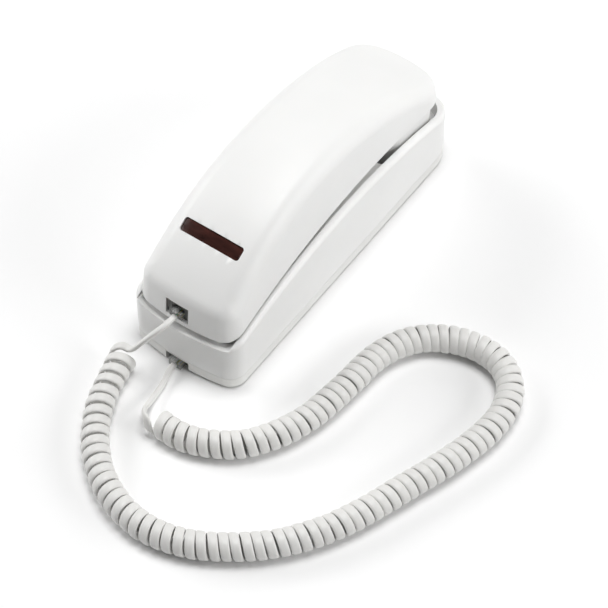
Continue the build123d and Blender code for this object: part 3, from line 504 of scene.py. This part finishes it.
SECTION = 18
ROUNDNESS = 0.72  # 1.0 is an ellipse, less is squarer
cord_mesh = bmesh.new()
rings = []
for index, (point, out) in enumerate(zip(path, outs)):
    way = (path[min(index + 1, len(path) - 1)] - path[max(index - 1, 0)]).normalized()
    across = way.cross(out).normalized()
    outward = across.cross(way).normalized()
    ring = []
    for corner in range(SECTION):
        turn = 2 * math.pi * corner / SECTION
        wide = abs(math.cos(turn)) ** ROUNDNESS * math.copysign(1.0, math.cos(turn))
        thick = abs(math.sin(turn)) ** ROUNDNESS * math.copysign(1.0, math.sin(turn))
        offset = across * (wide * widths[index] / 2) + outward * (thick * thicks[index] / 2)
        ring.append(cord_mesh.verts.new(point + offset))
    rings.append(ring)
for one, two in zip(rings, rings[1:]):
    for corner in range(SECTION):
        other = (corner + 1) % SECTION
        cord_mesh.faces.new((one[corner], one[other], two[other], two[corner]))
cord_mesh.faces.new(rings[0][::-1])
cord_mesh.faces.new(rings[-1])
bmesh.ops.recalc_face_normals(cord_mesh, faces=cord_mesh.faces)
cord_data = bpy.data.meshes.new("handset_cord")
cord_mesh.to_mesh(cord_data)
cord_mesh.free()
cord = add_piece("handset_cord", cord_data, cord_white, None)
cord_data.shade_smooth()
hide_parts("curly_cord", "base_lead", "handset_lead")
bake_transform(cord)


# ---------------------------------------------------------------- digits printed on the keys
PRINT_SIZE = 5.8 * MM
PRINT_THICK = 0.04 * MM
PRINT_GAP = 0.02 * MM


def printed(name, text, key):
    """A character standing a hair proud of a key's face, its top towards the mouthpiece."""
    low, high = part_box(key)
    font = bpy.data.curves.new(name, "FONT")
    font.body = text
    font.size = PRINT_SIZE
    font.align_x = "CENTER"
    font.align_y = "CENTER"
    font.resolution_u = 6
    font.extrude = PRINT_THICK
    holder = bpy.data.objects.new(name, font)
    data = bpy.data.meshes.new_from_object(holder)
    bpy.data.objects.remove(holder)
    bpy.data.curves.remove(font)
    centre_x = (low[0] + high[0]) / 2
    centre_y = (low[1] + high[1]) / 2
    for vertex in data.vertices:
        x, y, z = vertex.co
        vertex.co = (centre_x + x, centre_y - y, low[2] - z - PRINT_GAP)
    data.update()
    return add_piece(name, data, ink, key)


CHARACTERS = {"star": "*", "hash": "#"}
for name in NODES:
    if name.startswith("key_") and name not in ("key_flash", "key_redial"):
        label = name.removeprefix("key_")
        printed("print_" + label, CHARACTERS.get(label, label), name)


# ---------------------------------------------------------------- contacts and wires in the plugs
def strip(name, points, width, thick, material, body):
    """A thin rectangular blade or wire through these points, in metres."""
    mesh = bmesh.new()
    rings = []
    across = Vector((1.0, 0.0, 0.0))
    for index, point in enumerate(points):
        way = (points[min(index + 1, len(points) - 1)] - points[max(index - 1, 0)]).normalized()
        over = across.cross(way).normalized()
        ring = []
        for a, b in ((-1, -1), (1, -1), (1, 1), (-1, 1)):
            offset = across * (a * width / 2) + over * (b * thick / 2)
            ring.append(mesh.verts.new(point + offset))
        rings.append(ring)
    for one, two in zip(rings, rings[1:]):
        for corner in range(4):
            other = (corner + 1) % 4
            mesh.faces.new((one[corner], one[other], two[other], two[corner]))
    mesh.faces.new(rings[0][::-1])
    mesh.faces.new(rings[-1])
    bmesh.ops.recalc_face_normals(mesh, faces=mesh.faces)
    data = bpy.data.meshes.new(name)
    mesh.to_mesh(data)
    mesh.free()
    return add_piece(name, data, material, body)


wire_colours = {
    "black": moulded("wire_black", (0.05, 0.05, 0.05), (0.03, 0.03, 0.03))[0],
    "red": moulded("wire_red", (0.50, 0.06, 0.05), (0.40, 0.04, 0.03))[0],
    "green": moulded("wire_green", (0.06, 0.30, 0.12), (0.04, 0.22, 0.09))[0],
    "yellow": moulded("wire_yellow", (0.62, 0.50, 0.08), (0.52, 0.42, 0.06))[0],
}
PLUG_X = -2.0 * MM
CORE_SPACING = 1.02 * MM
CORE_SPACING_IN_LEAD = 0.6 * MM
CORE_THICK = 0.7 * MM
BLADE_WIDTH = 0.3 * MM
BLADE_LENGTH = 2.4 * MM
PLUGS = [
    ("base", "base_cord_plug", -0.1080, 0.0033),
    ("handset", "handset_cord_plug", -0.1048, 0.0422),
]
for body, plug, back_y, mid_z in PLUGS:
    for index, (colour, material) in enumerate(wire_colours.items()):
        place = index - 1.5
        core_x = PLUG_X + place * CORE_SPACING
        core = [
            Vector((PLUG_X + place * CORE_SPACING_IN_LEAD, back_y + 0.0004, mid_z)),
            Vector((core_x, back_y + 0.0034, mid_z)),
            Vector((core_x, back_y + 0.0100, mid_z)),
        ]
        blade = [
            Vector((core_x, back_y + 0.0085, mid_z + 0.0002)),
            Vector((core_x, back_y + 0.0085, mid_z + 0.0022)),
        ]
        strip(f"{plug}_wire_{colour}", core, CORE_THICK, CORE_THICK, material, body)
        strip(f"{plug}_blade_{colour}", blade, BLADE_WIDTH, BLADE_LENGTH, gold, body)


# ---------------------------------------------------------------- floor and light
floor_mesh = bmesh.new()
bmesh.ops.create_grid(floor_mesh, x_segments=8, y_segments=8, size=4.0)
floor_data = bpy.data.meshes.new("floor")
floor_mesh.to_mesh(floor_data)
floor_mesh.free()
floor_material, floor_tree, floor_shader = new_material("pale_floor")
floor_stops = [(0.3, (0.93, 0.93, 0.93)), (0.7, (0.95, 0.95, 0.95))]
floor_colour = ramp(floor_tree, noise(floor_tree, 2.0), floor_stops)
floor_tree.links.new(floor_colour, floor_shader.inputs["Base Color"])
floor_shader.inputs["Roughness"].default_value = 0.9
floor = bpy.data.objects.new("floor", floor_data)
floor_data.materials.append(floor_material)
bpy.context.scene.collection.objects.link(floor)
floor.location = (0, 0, -0.0002)


LIGHT_AIM = Vector((0.03, -0.05, 0))


def area_light(name, place, width, height, power):
    data = bpy.data.lights.new(name, "AREA")
    data.shape = "RECTANGLE"
    data.size = width
    data.size_y = height
    data.energy = power
    light = bpy.data.objects.new(name, data)
    light.location = place
    light.rotation_euler = (Vector(place) - LIGHT_AIM).to_track_quat("Z", "Y").to_euler()
    bpy.context.scene.collection.objects.link(light)


area_light("top", (0.1, 0.25, 2.4), 1.2, 1.2, 38)
area_light("left", (-2.0, -0.3, 1.2), 1.6, 1.0, 30)
area_light("right", (2.1, 0.5, 1.1), 1.6, 1.0, 25)
area_light("far", (0.6, 1.9, 0.9), 1.6, 0.8, 7)
world = bpy.data.worlds.new("world")
world.use_nodes = True
world.node_tree.nodes["Background"].inputs["Color"].default_value = (1.0, 1.0, 1.0, 1.0)
world.node_tree.nodes["Background"].inputs["Strength"].default_value = 0.03
bpy.context.scene.world = world
bpy.context.scene.view_settings.view_transform = "Standard"
